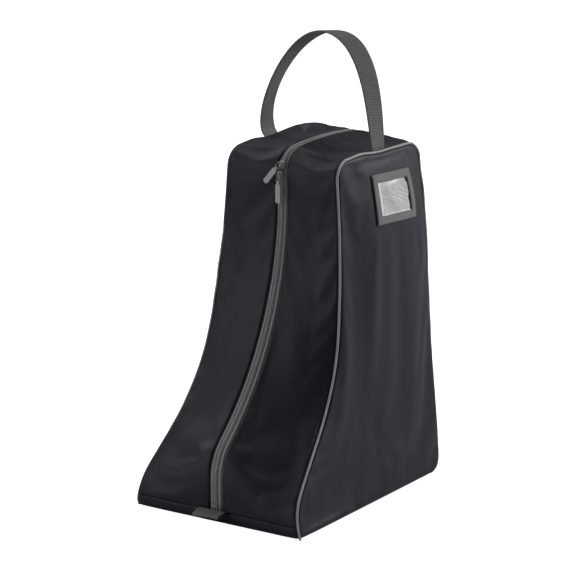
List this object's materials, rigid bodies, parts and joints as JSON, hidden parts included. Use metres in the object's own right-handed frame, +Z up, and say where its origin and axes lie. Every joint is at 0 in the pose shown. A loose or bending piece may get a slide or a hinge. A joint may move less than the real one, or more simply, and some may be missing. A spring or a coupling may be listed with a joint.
{
  "type": "boot bag",
  "caption": "Tall zipped boot carrier: sloping two-piece gusset, piped side panels, stiffened base, webbing handle and name-card window.",
  "frame": {"origin": "centre of the base's underside, on the ground", "axes": "+Z up; the zipped front faces -Y; +X is the bag's right side, which carries the card window"},
  "size_m": [0.26, 0.3638, 0.591],
  "materials": {
    "nylon": "satin",
    "board": "matte",
    "binding": "matte",
    "piping": "satin",
    "zip_tape": "matte",
    "zip_coil": "satin",
    "cast_metal": "satin",
    "pull_cord": "matte",
    "pull_grip": "satin",
    "webbing": "matte",
    "window_frame": "matte",
    "window_film": "gloss"
  },
  "bodies": {
    "bag": {"side_panel_right": "nylon", "side_panel_left": "nylon", "gusset_right": "nylon", "gusset_left": "nylon", "rear_panel": "nylon", "base_panel": "nylon", "base_board": "board", "base_seam_binding": "binding", "seam_binding_right": "binding", "seam_binding_left": "binding", "piping_right": "piping", "piping_left": "piping", "zip_tape_right": "zip_tape", "zip_tape_left": "zip_tape", "zip_coil_right": "zip_coil", "zip_coil_left": "zip_coil", "zip_stop_front": "cast_metal", "zip_stop_rear": "cast_metal", "zip_tab": "webbing", "window_frame": "window_frame", "window_film": "window_film"},
    "front_slider": {"slider_front": "cast_metal"},
    "front_cord": {"pull_cord_front": "pull_cord"},
    "front_grip": {"pull_grip_front": "pull_grip"},
    "top_slider": {"slider_top": "cast_metal"},
    "top_cord": {"pull_cord_top": "pull_cord"},
    "top_grip": {"pull_grip_top": "pull_grip"},
    "handle": {"handle": "webbing"}
  },
  "joints": [
    {"name": "front_slider_travel", "type": "hinge", "parent": "bag", "child": "front_slider", "pos_m": [0, -0.39153, 0.38857], "axis": [-1, 0, 0], "range_deg": [0, 52.5]},
    {"name": "front_pull_swing", "type": "hinge", "parent": "front_slider", "child": "front_cord", "pos_m": [0, -0.02407, 0.42004], "axis": [0, -1, 0], "range_deg": [-10, 80]},
    {"name": "front_pull_lift", "type": "hinge", "parent": "front_cord", "child": "front_grip", "pos_m": [0, -0.02407, 0.41204], "axis": [-1, 0, 0], "range_deg": [0, 120]},
    {"name": "top_slider_travel", "type": "hinge", "parent": "bag", "child": "top_slider", "pos_m": [0, 0.01887, 0.41727], "axis": [-1, 0, 0], "range_deg": [0, 52]},
    {"name": "top_pull_swing", "type": "hinge", "parent": "top_slider", "child": "top_cord", "pos_m": [0, -0.02101, 0.43587], "axis": [0, 1, 0], "range_deg": [0, 85]},
    {"name": "top_pull_lift", "type": "hinge", "parent": "top_cord", "child": "top_grip", "pos_m": [-0.0051, -0.02101, 0.4297], "axis": [-0.7705, 0, 0.6374], "range_deg": [0, 120]},
    {"name": "handle_tilt", "type": "hinge", "parent": "bag", "child": "handle", "pos_m": [0, 0.085, 0.4616], "axis": [1, 0, 0], "range_deg": [-60, 60]}
  ]
}
